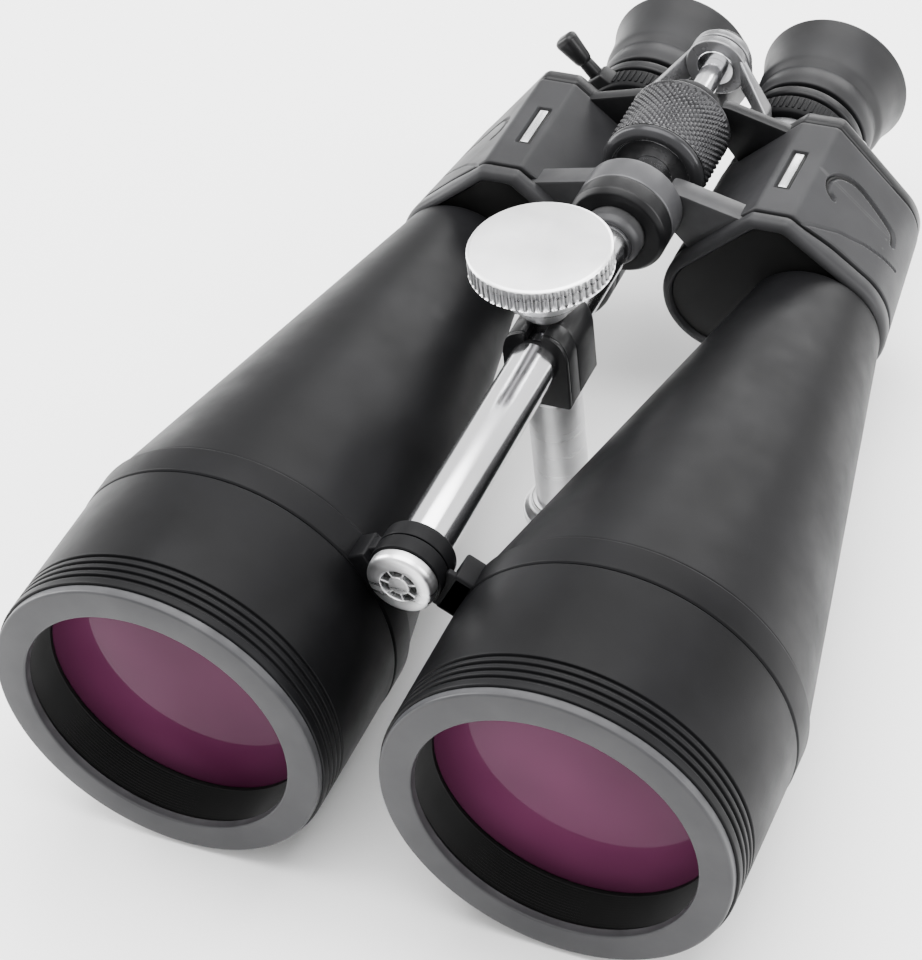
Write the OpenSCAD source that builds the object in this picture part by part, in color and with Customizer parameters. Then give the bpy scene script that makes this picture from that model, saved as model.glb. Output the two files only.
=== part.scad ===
/* [Overall] */
// Length from the front rims to the ends of the eyecups
overall_l = 338; // [330:1:345]
// Facets on the round faceted shells
shell_fn = 32; // [24:4:48]

/* [Objectives] */
// Distance from the hinge plane to each objective axis
barrel_x = 59.4; // [59:0.1:62]
// How far the objective axes lie below the hinge axis
barrel_drop = 32.6; // [32.2:0.1:33]
// Clear radius inside each front rim
rim_bore_r = 40.5; // [40:0.1:41]
// Outer radius of the flat front rim
rim_r = 50; // [49.5:0.1:50.5]
// Outer radius of the rubber hood
hood_r = 50.9; // [50.6:0.1:51]
// Rear end of the hood, behind the front rims
hood_end = 48.7; // [47:0.1:48.8]
// Number of grip grooves round the hood
groove_count = 4; // [2:1:5]
// Distance behind the rim of the first groove
groove_start = 5.5; // [5:0.5:7]
// Spacing of the grooves
groove_pitch = 2.6; // [2.2:0.1:3]
// Depth of each groove
groove_depth = 0.9; // [0.5:0.1:1.2]

/* [Barrels] */
// Where the cone of each barrel starts
cone_start = 59.4; // [59.2:0.1:60]
// Where the cone turns into the neck
cone_end = 213.5; // [212:0.5:214]
// Radius at the front of the cone
cone_front_r = 50.2; // [49.5:0.1:50.6]
// Radius at the back of the cone
cone_rear_r = 22.2; // [21.8:0.1:22.6]
// Wall of the barrel shell
barrel_wall = 2.2; // [1.8:0.1:2.6]

/* [Prism housings] */
// Front face of the front covers
cover_start = 217; // [216.5:0.1:218]
// Joint between the front covers and the housings
cover_joint = 224.5; // [224:0.5:225]
// Joint between the housings and the rear covers
rear_joint = 270.5; // [270:0.1:271]
// Back face of the rear covers
rear_end = 277; // [276:0.5:277]
// Wall of the prism housings
housing_wall = 2.4; // [2:0.1:2.6]
// Radius of the housings' outer corner at the front, round the objective axis
outer_lobe_r = 22.4; // [22:0.1:22.8]
// Radius of the housings' outer corner at the back
outer_lobe_rear_r = 17.7; // [17.4:0.1:18]
// Sideways place of the housings' inner corner
inner_lobe_x = 29; // [28.5:0.5:29.5]
// Radius of the housings' inner corner
inner_lobe_r = 20.5; // [20:0.1:21]
// Square face of each prism
prism_face = 18; // [15:0.5:18.5]

/* [Eyepieces] */
// Distance from the hinge plane to each eyepiece axis
eye_x = 27.5; // [27:0.1:28]
// How far the eyepiece axes lie below the hinge axis
eye_drop = 28.5; // [28:0.1:29]
// Outer radius of the sliding eyepiece tubes
eye_tube_r = 13.8; // [13.4:0.1:14]
// Outer radius of the zoom rings
zoom_ring_r = 20; // [19:0.1:20.5]
// Outer radius at the flared end of the eyecups
eyecup_r = 25.6; // [25:0.1:26]
// Reach of the zoom lever from its eyepiece axis
lever_reach = 41; // [38:0.5:42]
// Direction of the zoom lever, seen from the front
lever_angle = 130; // [125:1:145]

/* [Hinge and focus] */
// Radius of the hinge shaft
shaft_r = 6.3; // [6:0.1:6.4]
// Radius of the tripod rod
rod_r = 7.5; // [7.3:0.1:7.6]
// Radius of the focus screw
screw_r = 4; // [3.5:0.1:4.2]
// Outer radius of the front hinge knuckle
knuckle_r = 16; // [15.5:0.1:16.5]
// Radius of the focus wheel
wheel_r = 17; // [16.5:0.1:17.5]
// Front face of the focus wheel
wheel_start = 235; // [234:0.5:236]
// Length of the focus wheel
wheel_l = 30; // [26:0.5:30]
// Radius of the collar that the front braces form round the rod
collar_r = 11; // [10.5:0.1:11.5]

/* [Tripod adapter] */
// Where the adapter sits on the rod
adapter_y = 150.5; // [148:0.5:152]
// Length of the clamp block along the rod
block_l = 22; // [21:0.5:23]
// Width of the clamp block
block_w = 20.6; // [20.4:0.2:22]
// Radius of the clamp knob
knob_r = 21.5; // [20:0.5:22]
// Radius of the adapter post
post_r = 8.5; // [8:0.1:8.6]
// Radius of the foot plate
foot_r = 13; // [12:0.5:13.5]
// Radius of the tripod socket
socket_r = 3.2; // [3.1:0.05:3.3]

/* [Hidden] */

$fn = 96;
half_l = overall_l / 2;
brace_r = hood_r + 0.3;
hinge_z = barrel_drop + brace_r;
barrel_z = hinge_z - barrel_drop;
eye_z = hinge_z - eye_drop;
inner_lobe_z = hinge_z - 32;
slip = 0.05;
gap = 0.3;
eps = 0.5;
skin = 0.02;

// Objective stack, as distances behind the front rims
rim_l = 2.7;
cell_end = 38;
sleeve_start = 36;
sleeve_r = 48;
sleeve_bore = 45.6;
cell_bore = 43.5;
lens_front = 17;
lens_joint = 24.2;
lens_back = 31;
lens_sag = 2.6;
neck_end = 217;
neck_l = 8;
neck_r = 19;
neck_bore = 16.8;

// Front braces
brace_start = 49;
brace_end = 59.2;
brace_joint = 51.6;
collar_start = 46.4;
collar_end = 57.2;
brace_arm_w = 13;
brace_reach = norm([barrel_x, barrel_drop]);
brace_tilt = atan2(barrel_drop, barrel_x);

// Hinge
nose_start = 205;
nose_end = 212;
left_knuckle_end = 221.6;
right_knuckle_start = 221.9;
right_knuckle_r = 10;
web_start = 222;
web_end = 230;
lug_start = 266;
lug_joint = 269.6;
lug_end = 273.2;
lug_r = 11;
shaft_end = 276.5;

// Focus bridge, at the middle of its travel
hub_start = 296;
hub_end = 304;
hub_r = 6.4;
arm_joint = 300.1;
arm_r = 10.4;
clip_start = 283;
clip_end = 291;
screw_start = 240;

// Eyepieces
eye_tube_start = 262;
eye_tube_end = 321.5;
eye_tube_bore = 11.3;
zoom_start = 291.4;
zoom_end = 300.6;
ring_start = 301;
ring_end = 305.2;
ring_r = 20.6;
ocular_start = 307;
ocular_end = 331;
ocular_r = 17.2;
ocular_bore = 13.6;
eye_lens_start = 324;
eye_lens_end = 329;
cup_mouth_r = 22.4;
zoom_cell_start = 266;
zoom_cell_end = 276;

// Prisms: the light steps sideways twice by prism_step
axis_dx = eye_x - barrel_x;
axis_dz = barrel_drop - eye_drop;
prism_step = norm([axis_dx, axis_dz]) / sqrt(2);
step_tilt = atan2(axis_dz, axis_dx) - 45;
shelf_y = 246;
shelf_l = 1;
shelf_back = (shelf_y - cover_joint) / (rear_joint - cover_joint);

// Flat strip on top of each housing, and the badge set into it
strip_x = 38.7;
strip_w = 12.3;
strip_z = hinge_z + 3.9;
badge_x = 43.4;
badge_w = 5.6;
badge_start = 235;
badge_l = 20.4;

// Places a child whose own Z runs towards the eyepieces, d behind the front rims
module from_rim(d) { translate([0, d - half_l, 0]) rotate([-90, 0, 0]) children(); }
module on_hinge() { translate([0, 0, hinge_z]) children(); }
module on_objective() { translate([barrel_x, 0, barrel_z]) children(); }
module on_eyepiece() { translate([eye_x, 0, eye_z]) children(); }
module right_side() { mirror([1, 0, 0]) children(); }

// A round rod between two distances behind the front rims
module rod_y(start, end, r) { from_rim(start) cylinder(h = end - start, r = r); }

// A ring between two distances behind the front rims
module ring_y(start, end, r, bore) {
    difference() {
        rod_y(start, end, r);
        rod_y(start - eps, end + eps, bore);
    }
}

// A solid turned from [radius, distance behind the front rims] points
module turned(points) { from_rim(0) rotate_extrude() polygon(points); }

// ---- objectives ----
module objective_rim() {
    color("dimgray") on_objective()
        turned([[rim_bore_r, 0], [rim_r - 0.6, 0], [rim_r, 0.6], [rim_r, rim_l], [rim_bore_r, rim_l]]);
}

// Outline of one groove in the outer face of the hood
function groove(i) = let (d = groove_start + i * groove_pitch)
    [[hood_r, d], [hood_r - groove_depth, d], [hood_r - groove_depth, d + 1], [hood_r, d + 1]];

module objective_hood() {
    grooves = [for (i = [0:groove_count - 1]) for (p = groove(i)) p];
    color([0.13, 0.13, 0.14]) on_objective()
        turned(concat([[sleeve_r + slip, rim_l + skin], [hood_r, rim_l + skin]], grooves,
            [[hood_r, hood_end], [sleeve_r + slip, hood_end]]));
}

module lens_ring() {
    ridge = 0.5;
    ridges = [for (d = [lens_front - 1.5 : -1.6 : 4.5])
        for (p = [[rim_bore_r + 0.4, d], [rim_bore_r + 0.4 + ridge, d - 0.8]]) p];
    color([0.05, 0.05, 0.05]) on_objective()
        turned(concat([[cell_bore - slip, rim_l + skin], [cell_bore - slip, lens_front - 0.4],
            [rim_bore_r + 0.2, lens_front - 0.4]], ridges, [[rim_bore_r + 0.6, rim_l + skin]]));
}

module objective_cell() {
    lip = 2;
    color([0.06, 0.06, 0.06]) on_objective()
        turned([[cell_bore, rim_l + skin], [sleeve_bore - slip, rim_l + skin],
            [sleeve_bore - slip, cell_end], [cell_bore - lip, cell_end],
            [cell_bore - lip, lens_back + gap], [cell_bore, lens_back + gap]]);
}

// A disc with spherical faces, bulging by the given sags at its front and its back
module lens_y(front, back, r, front_sag, back_sag) {
    steps = 8;
    face = function (sag, i) sag * (1 - pow(i / steps, 2));
    on_front = [for (i = [0:steps]) [r * i / steps, front - face(front_sag, i)]];
    on_back = [for (i = [steps:-1:0]) [r * i / steps, back + face(back_sag, i)]];
    turned(concat(on_front, on_back));
}

module objective_lens() {
    r = cell_bore - slip;
    color([0.55, 0.3, 0.5]) on_objective() {
        lens_y(lens_front, lens_joint, r, lens_sag, lens_sag);
        lens_y(lens_joint + skin, lens_back, r, -lens_sag, 0);
    }
}

// ---- barrels and braces ----
module barrel() {
    cone_bore = cone_rear_r - barrel_wall;
    color([0.16, 0.16, 0.17]) on_objective()
        turned([[sleeve_bore, sleeve_start], [sleeve_r, sleeve_start], [sleeve_r, cone_start],
            [cone_front_r, cone_start], [cone_rear_r, cone_end], [cone_rear_r, neck_end - skin],
            [neck_r, neck_end - skin], [neck_r, neck_end + neck_l], [neck_bore, neck_end + neck_l],
            [neck_bore, neck_end], [cone_bore, cone_end],
            [cone_front_r - barrel_wall - 2, cone_start + 4], [sleeve_bore, cone_start]]);
}

// One brace: a band round the barrel, a short arm and a collar round the rod
module brace(start, end) {
    arm_l = brace_reach - sleeve_r - rod_r;
    color([0.1, 0.1, 0.11]) difference() {
        union() {
            on_objective() rod_y(brace_start, brace_end, brace_r);
            on_hinge() rod_y(start, end, collar_r);
            on_hinge() rotate([0, brace_tilt, 0])
                translate([rod_r + 1, brace_start - half_l, -brace_arm_w / 2])
                    cube([arm_l, brace_end - brace_start, brace_arm_w]);
        }
        on_objective() rod_y(brace_start - eps, brace_end + eps, sleeve_r + slip);
        on_hinge() rod_y(collar_start - eps, brace_end + eps, rod_r + slip);
        on_hinge() rod_y(start < brace_joint ? brace_joint : collar_start - eps,
            start < brace_joint ? brace_end + eps : brace_joint + gap, collar_r + gap);
    }
}

module left_brace() { brace(collar_start, brace_joint); }
module right_brace() { right_side() brace(brace_joint + gap, collar_end); }

// ---- prism housings ----
// The rounded corners of a housing as short rods, and its top strip, in one slice;
// back runs from 0 at the front cover to 1 at the rear cover
module corners(start, end, back, shrink) {
    outer_r = outer_lobe_r + back * (outer_lobe_rear_r - outer_lobe_r);
    on_objective() rod_y(start, end, outer_r - shrink, $fn = shell_fn);
    translate([inner_lobe_x, 0, inner_lobe_z]) rod_y(start, end, inner_lobe_r - shrink, $fn = shell_fn);
    translate([strip_x, start - half_l, strip_z - 1 - shrink]) cube([strip_w, end - start, 1]);
}

// The web that joins a front cover to its hinge knuckle
module web() {
    on_hinge() from_rim(web_start) linear_extrude(web_end - web_start)
        polygon([[0, -7.2], [34, 0.5], [42, 8], [32, 24], [17, 17], [6, 9], [0, 9]]);
}

module front_cover(knuckle_start, knuckle_end, r) {
    inner = cover_start + housing_wall;
    color([0.2, 0.2, 0.21]) difference() {
        union() {
            hull() corners(cover_start, cover_joint, 0, 0);
            web();
            on_hinge() rod_y(knuckle_start, knuckle_end, r);
            if (knuckle_end < web_start)
                on_hinge() intersection() {
                    rod_y(web_start - 1, web_end, knuckle_r - 3);
                    translate([right_knuckle_r + gap, web_start - 1 - half_l, -6]) cube([8, 9, 12]);
                }
        }
        hull() corners(inner, cover_joint + eps, 0, housing_wall);
        hull() corners(cover_joint, web_end + eps, 0, -gap);
        on_objective() rod_y(cover_start - eps, cover_joint, neck_r + slip);
        on_hinge() rod_y(nose_end, web_end + eps, shaft_r + slip);
        on_hinge() rod_y(knuckle_end < web_start ? web_start - 1 : nose_end,
            knuckle_end < web_start ? web_end + eps : web_start - skin,
            knuckle_end < web_start ? right_knuckle_r + gap : knuckle_r + gap);
    }
}

module left_front_cover() { front_cover(nose_end + gap, left_knuckle_end, knuckle_r); }
module right_front_cover() { right_side() front_cover(right_knuckle_start, web_end, right_knuckle_r); }

module housing() {
    slab = 0.1;
    color([0.2, 0.2, 0.21]) difference() {
        hull() {
            corners(cover_joint + skin, cover_joint + slab, 0, 0);
            corners(rear_joint - slab, rear_joint, 1, 0);
        }
        hull() {
            corners(cover_joint - slab, cover_joint, 0, housing_wall);
            corners(rear_joint, rear_joint + slab, 1, housing_wall);
        }
        translate([badge_x - badge_w / 2, badge_start - half_l, strip_z - 1])
            cube([badge_w, badge_l, 10]);
    }
}

module rear_cover(start, end) {
    color([0.17, 0.17, 0.18]) difference() {
        union() {
            hull() corners(rear_joint + skin, rear_end, 1, 0);
            on_hinge() rod_y(start, end, lug_r);
            on_hinge() from_rim(lug_start) linear_extrude(lug_end - lug_start)
                polygon([[0, -7.2], [34, 0.5], [42, 8], [32, 24], [17, 17], [6, 9], [0, 9]]);
        }
        on_eyepiece() rod_y(lug_start - eps, rear_end + eps, eye_tube_r + slip);
        on_hinge() rod_y(lug_start - eps, rear_end + eps, shaft_r + slip);
        on_hinge() rod_y(start < lug_joint ? lug_joint : lug_start - eps,
            start < lug_joint ? rear_end + eps : lug_joint + gap, lug_r + gap);
        hull() corners(lug_start - eps, rear_joint, 1, -2 * gap);
        on_hinge() for (p = cover_screws_at) translate([p[0], 0, p[1]])
            rod_y(rear_end - 3, rear_end + 3, 1.5);
    }
}

module left_rear_cover() { rear_cover(lug_start, lug_joint); }
module right_rear_cover() { right_side() rear_cover(lug_joint + gap, lug_end); }

// Four screws round the back of a housing, as [x, height above the hinge axis]
cover_screws_at = [[70, -30], [55, -8], [58, -44], [33, -48]];

module cover_screws() {
    color("silver") on_hinge() for (p = cover_screws_at) translate([p[0], 0, p[1]]) difference() {
        union() {
            rod_y(rear_end - 2.9, rear_end + skin, 1.4);
            rod_y(rear_end + skin, rear_end + 1.2, 2.6);
        }
        translate([-3, rear_end + 0.6 - half_l, -0.3]) cube([6, 2, 0.6]);
    }
}

module badge() {
    edge = 0.2;
    front = badge_start + edge - half_l;
    color("silver") translate([badge_x - badge_w / 2 + edge, front, strip_z - 1 + skin])
        cube([badge_w - 2 * edge, badge_l - 2 * edge, 1.2]);
}

// A right-angle prism whose long face lies across the light, rising along the tilt
module prism_at(x, z, tilt, d, turn) {
    half = (prism_step + prism_face) / 2;
    translate([x, d - half_l, z]) rotate([0, -tilt, 0]) rotate([turn, 0, 0])
        translate([0, 0, -prism_face / 2]) linear_extrude(prism_face)
            polygon([[-half, 0], [half, 0], [0, half]]);
}

// Middle of the long face of each prism
function step_at(k) = let (a = step_tilt + 90 * k)
    [prism_step * cos(a), prism_step * sin(a)];

module prisms() {
    first = step_at(0);
    second = step_at(1);
    color([0.75, 0.85, 0.9, 0.6]) {
        prism_at(barrel_x + first[0] / 2, barrel_z + first[1] / 2,
            step_tilt, shelf_y + shelf_l + slip, 0);
        prism_at(barrel_x + first[0] + second[0] / 2, barrel_z + first[1] + second[1] / 2,
            step_tilt + 90, shelf_y - slip, 180);
    }
}

module prism_shelf() {
    shelf_fit = 0.15;
    first = step_at(0);
    windows = [[barrel_x, barrel_z], [barrel_x + first[0], barrel_z + first[1]], [eye_x, eye_z]];
    color([0.45, 0.45, 0.47]) difference() {
        hull() corners(shelf_y, shelf_y + shelf_l, shelf_back, housing_wall + shelf_fit);
        for (w = windows) translate([w[0], 0, w[1]])
            rod_y(shelf_y - eps, shelf_y + shelf_l + eps, prism_face / 2 - 1);
    }
}

// ---- centre ----
module tripod_rod() {
    color([0.85, 0.85, 0.87]) on_hinge() rod_y(collar_start - 0.2, nose_start - 4, rod_r);
}

module rod_end_cap() {
    cap_r = 10.2;
    spokes = 8;
    color("silver") on_hinge() difference() {
        turned([[0, 40.4], [6.2, 40.2], [cap_r - 1.6, 41.2], [cap_r, 43], [cap_r, 46.1], [0, 46.1]]);
        for (i = [0:spokes - 1]) rotate([0, i * 360 / spokes, 0])
            translate([2.9, 39 - half_l, -1]) cube([2.2, 3.2, 2]);
    }
}

module hinge_shaft() {
    color([0.7, 0.7, 0.72]) on_hinge() ring_y(nose_start, shaft_end, shaft_r, screw_r + slip);
}

module hinge_nose() {
    color([0.08, 0.08, 0.08]) on_hinge()
        turned([[shaft_r + slip, nose_start - 3.6], [10, nose_start - 1], [10, nose_start],
            [knuckle_r - 1, nose_start], [knuckle_r, nose_start + 1], [knuckle_r, nose_end],
            [shaft_r + slip, nose_end]]);
}

module shaft_circlip() {
    color([0.3, 0.3, 0.3]) on_hinge() ring_y(lug_end + 0.5, lug_end + 1.5, 8.2, shaft_r + slip);
}

module focus_wheel() {
    flutes = 36;
    color([0.25, 0.25, 0.26]) on_hinge() difference() {
        turned([[shaft_r + slip, wheel_start], [wheel_r - 2, wheel_start], [wheel_r, wheel_start + 2.4],
            [wheel_r, wheel_start + wheel_l - 1.6], [wheel_r - 1.6, wheel_start + wheel_l - 0.6],
            [shaft_r + slip, wheel_start + wheel_l - 0.6]]);
        for (i = [0:flutes - 1]) rotate([0, i * 360 / flutes, 0])
            translate([wheel_r - 0.5, wheel_start + 6 - half_l, -0.4]) cube([2, wheel_l - 9, 0.8]);
    }
}

module focus_screw() {
    color("silver") on_hinge() rod_y(screw_start, hub_end + 1, screw_r);
}

module bridge_hub() {
    color([0.75, 0.75, 0.77]) on_hinge() difference() {
        union() {
            rod_y(hub_start, hub_end, hub_r);
            rod_y(hub_end, hub_end + 2.4, hub_r + 2.5);
        }
        rod_y(hub_start - eps, hub_end + 1 + skin, screw_r + skin);
    }
}

// ---- eyepieces ----
module eyepiece_tube() {
    color([0.5, 0.5, 0.52]) on_eyepiece()
        ring_y(eye_tube_start, eye_tube_end, eye_tube_r, eye_tube_bore);
}

// A knuckle on the hub, a clip round the eyepiece tube and a slanting arm between them
module bridge_arm(start, end) {
    clip_r = eye_tube_r + 4;
    clip_l = clip_end - clip_start - 2 * gap;
    root = [arm_r - 3, start - half_l, -8];
    tip = [20, clip_start + gap - half_l, -16];
    color([0.3, 0.3, 0.31]) difference() {
        union() {
            on_hinge() rod_y(start, end, arm_r);
            on_eyepiece() rod_y(clip_start + gap, clip_end - gap, clip_r);
            on_hinge() hull() {
                translate(root) cube([2, end - start, 12]);
                translate(tip) cube([6, clip_l, 8]);
            }
        }
        on_eyepiece() rod_y(clip_start - eps, clip_end + eps, eye_tube_r + slip);
        on_eyepiece() rod_y(clip_end, hub_end + eps, ring_r + gap);
        on_hinge() rod_y(hub_start - eps, hub_end + eps, hub_r + slip);
        on_hinge() rod_y(start < arm_joint ? arm_joint : hub_start - eps,
            start < arm_joint ? hub_end + eps : arm_joint + gap, arm_r + gap);
    }
}

module left_bridge_arm() { bridge_arm(hub_start + gap, arm_joint); }
module right_bridge_arm() { right_side() bridge_arm(arm_joint + gap, hub_end - gap); }

module zoom_ring() {
    color([0.13, 0.13, 0.14]) on_eyepiece()
        ring_y(zoom_start, zoom_end, zoom_ring_r, eye_tube_r + slip);
}

module zoom_lever() {
    stem_r = 2.2;
    paddle_l = 11;
    color([0.08, 0.08, 0.08]) translate([-eye_x, (zoom_start + zoom_end) / 2 - half_l, eye_z])
        rotate([0, -lever_angle, 0]) {
            translate([zoom_ring_r + 0.1, 0, 0]) rotate([0, 90, 0])
                cylinder(h = lever_reach - zoom_ring_r - paddle_l + 2, r = stem_r);
            translate([lever_reach - paddle_l, -3.2, -4]) cube([paddle_l, 6.4, 8]);
        }
}

module ocular_ring() {
    color([0.16, 0.16, 0.17]) on_eyepiece() ring_y(ring_start, ring_end, ring_r, eye_tube_r + slip);
}

module ocular_tube() {
    seat = 1.2;
    color([0.12, 0.12, 0.12]) on_eyepiece()
        turned([[eye_tube_r + slip, ocular_start], [ocular_r, ocular_start], [ocular_r, ocular_end],
            [ocular_bore - seat, ocular_end], [ocular_bore - seat, eye_lens_end + gap],
            [ocular_bore, eye_lens_end + gap], [ocular_bore, eye_lens_start - gap],
            [eye_tube_r + slip, eye_lens_start - gap]]);
}

module eye_lens() {
    color([0.5, 0.55, 0.6]) on_eyepiece()
        lens_y(eye_lens_start + 1.5, eye_lens_end - 1, ocular_bore - slip, 1.2, 0.8);
}

module eyecup() {
    color([0.1, 0.1, 0.1]) on_eyepiece()
        turned([[ocular_r + slip, ocular_start], [20.8, ocular_start], [21.6, 313], [21.2, 317],
            [22.2, 319], [23.4, 328], [eyecup_r - 0.2, overall_l - 2], [eyecup_r, overall_l - 0.8],
            [eyecup_r - 0.8, overall_l], [cup_mouth_r + 0.4, overall_l], [cup_mouth_r - 1, 333],
            [ocular_r + slip, ocular_end + 0.4]]);
}

module zoom_cell() {
    color([0.3, 0.3, 0.3]) on_eyepiece()
        rod_y(zoom_cell_start, zoom_cell_end, eye_tube_bore - slip);
}

// ---- tripod adapter ----
liner_r = 8.5;
liner_start = adapter_y - 3;
block_top = 10.2;
block_low = -16;
clamp_bore = 2.6;
clamp_screw_end = 31;
foot_top = -62;
foot_low = -70;

module clamp_liner() {
    color([0.9, 0.9, 0.88]) on_hinge()
        ring_y(liner_start, adapter_y + block_l / 2 - 1, liner_r, rod_r + slip);
}

module clamp_block() {
    start = adapter_y - block_l / 2;
    half_w = block_w / 2;
    top_w = half_w - 5;
    shoulder = 4;
    front_wall = 1.6;
    slot = [5.4, liner_start - start - front_wall - 0.4, block_top + 1];
    color([0.07, 0.07, 0.08]) on_hinge() difference() {
        from_rim(start) linear_extrude(block_l)
            polygon([[-half_w, -shoulder], [-top_w, -block_top], [top_w, -block_top],
                [half_w, -shoulder], [half_w, -block_low], [-half_w, -block_low]]);
        rod_y(start - eps, start + block_l + eps, liner_r + slip);
        translate([0, adapter_y - half_l, 0]) cylinder(h = block_top + 1, r = clamp_bore);
        translate([-slot[0] / 2, start + front_wall - half_l, 0]) cube(slot);
    }
}

module tripod_post() {
    color([0.8, 0.8, 0.82]) translate([0, adapter_y - half_l, hinge_z + foot_top + skin]) difference() {
        cylinder(h = block_low - foot_top - 2 * skin, r = post_r);
        translate([0, 0, -1]) cylinder(h = 5, r = socket_r);
    }
}

module tripod_foot() {
    color([0.8, 0.8, 0.82]) translate([0, adapter_y - half_l, hinge_z + foot_low]) difference() {
        union() {
            cylinder(h = 5, r = foot_r);
            translate([0, 0, 5]) cylinder(h = foot_top - foot_low - 5, r = post_r + 1.5);
        }
        translate([0, 0, -1]) cylinder(h = foot_top - foot_low + 2, r = socket_r);
    }
}

module clamp_knob() {
    flutes = 40;
    dish_low = 11;
    dish_r = 6.6;
    band_low = 28;
    top = 35.3;
    color("whitesmoke") translate([0, adapter_y - half_l, hinge_z]) difference() {
        rotate_extrude() polygon([[clamp_bore, dish_low], [dish_r, dish_low],
            [knob_r - 3, band_low - 1.5], [knob_r, band_low], [knob_r, top - 0.8],
            [knob_r - 0.8, top], [0, top], [0, clamp_screw_end + 0.3],
            [clamp_bore, clamp_screw_end + 0.3]]);
        for (i = [0:flutes - 1]) rotate([0, 0, i * 360 / flutes])
            translate([knob_r - 0.5, -0.5, band_low + 0.8]) cube([2, 1, top - band_low - 2]);
    }
}

module clamp_screw() {
    color("silver") translate([0, adapter_y - half_l, hinge_z + liner_r + gap])
        cylinder(h = clamp_screw_end - liner_r - gap - skin, r = 2.5);
}

tripod_rod();
rod_end_cap();
hinge_shaft();
hinge_nose();
shaft_circlip();
focus_wheel();
bridge_hub();
focus_screw();
clamp_liner();
clamp_block();
tripod_post();
tripod_foot();
clamp_knob();
clamp_screw();
objective_rim();  // left_objective_rim
objective_hood();  // left_objective_hood
lens_ring();  // left_lens_ring
objective_cell();  // left_objective_cell
objective_lens();  // left_objective_lens
barrel();  // left_barrel
left_brace();
left_front_cover();
housing();  // left_housing
prisms();  // left_prisms
prism_shelf();  // left_prism_shelf
left_rear_cover();
cover_screws();  // left_cover_screws
badge();  // left_badge
right_side() objective_rim();  // right_objective_rim
right_side() objective_hood();  // right_objective_hood
right_side() lens_ring();  // right_lens_ring
right_side() objective_cell();  // right_objective_cell
right_side() objective_lens();  // right_objective_lens
right_side() barrel();  // right_barrel
right_brace();
right_front_cover();
right_side() housing();  // right_housing
right_side() prisms();  // right_prisms
right_side() prism_shelf();  // right_prism_shelf
right_rear_cover();
right_side() cover_screws();  // right_cover_screws
right_side() badge();  // right_badge
eyepiece_tube();  // left_eyepiece_tube
left_bridge_arm();
ocular_ring();  // left_ocular_collar
ocular_tube();  // left_ocular_tube
eye_lens();  // left_eye_lens
eyecup();  // left_eyecup
right_side() eyepiece_tube();  // right_eyepiece_tube
right_bridge_arm();
right_side() ocular_ring();  // right_diopter_ring
right_side() ocular_tube();  // right_ocular_tube
right_side() eye_lens();  // right_eye_lens
right_side() eyecup();  // right_eyecup
zoom_ring();  // left_zoom_ring
right_side() zoom_ring();  // right_zoom_ring
zoom_lever();
zoom_cell();  // left_zoom_cell
right_side() zoom_cell();  // right_zoom_cell
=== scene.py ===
"""Large Porro-prism zoom binoculars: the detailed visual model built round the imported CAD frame."""
import math
import bpy
import bmesh
from mathutils import Matrix, Vector


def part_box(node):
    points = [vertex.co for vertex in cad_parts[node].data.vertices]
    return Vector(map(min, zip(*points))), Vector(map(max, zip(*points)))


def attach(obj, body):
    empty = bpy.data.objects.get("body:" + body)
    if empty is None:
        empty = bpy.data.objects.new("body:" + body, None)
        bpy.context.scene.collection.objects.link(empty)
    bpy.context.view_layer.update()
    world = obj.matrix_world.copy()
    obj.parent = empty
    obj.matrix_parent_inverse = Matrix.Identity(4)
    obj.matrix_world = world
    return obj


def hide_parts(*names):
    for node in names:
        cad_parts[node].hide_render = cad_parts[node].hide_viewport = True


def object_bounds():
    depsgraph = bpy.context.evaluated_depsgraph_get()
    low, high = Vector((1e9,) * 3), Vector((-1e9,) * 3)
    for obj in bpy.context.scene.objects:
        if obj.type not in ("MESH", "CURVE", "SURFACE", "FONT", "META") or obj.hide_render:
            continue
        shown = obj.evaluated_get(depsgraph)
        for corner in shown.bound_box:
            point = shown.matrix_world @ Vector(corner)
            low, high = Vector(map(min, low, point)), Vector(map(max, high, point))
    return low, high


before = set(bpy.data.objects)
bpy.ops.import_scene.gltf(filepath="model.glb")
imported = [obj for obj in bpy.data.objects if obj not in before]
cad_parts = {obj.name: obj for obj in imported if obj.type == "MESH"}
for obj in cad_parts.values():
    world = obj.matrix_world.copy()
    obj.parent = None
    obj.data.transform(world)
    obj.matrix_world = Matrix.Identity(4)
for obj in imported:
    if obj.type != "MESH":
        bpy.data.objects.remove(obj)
CAD_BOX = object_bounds()
MM = 0.001

# ---------------------------------------------------------------- places, in mm, worked out from the frame


def centre(node):
    low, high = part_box(node)
    return [(low[i] + high[i]) / 2 for i in range(3)]


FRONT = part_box("left_objective_rim")[0][1]
HINGE_Z = centre("tripod_rod")[2]
OBJECTIVE = (centre("left_objective_rim")[0] / MM, (centre("left_objective_rim")[2] - HINGE_Z) / MM)
EYEPIECE = (centre("left_eyepiece_tube")[0] / MM, (centre("left_eyepiece_tube")[2] - HINGE_Z) / MM)
HINGE = (0.0, 0.0)
ROD_R = (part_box("tripod_rod")[1][0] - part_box("tripod_rod")[0][0]) / 2 / MM
ADAPTER_D = (centre("clamp_block")[1] - FRONT) / MM


def at(x, d, z):
    """A point x mm from the hinge plane, d mm behind the front rims and z mm above the hinge axis."""
    return Vector((x * MM, FRONT + d * MM, HINGE_Z + z * MM))


def reach(node):
    """First and last distance behind the front rims of a CAD node, in mm."""
    low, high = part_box(node)
    return (low[1] - FRONT) / MM, (high[1] - FRONT) / MM


# ---------------------------------------------------------------- materials


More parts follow.
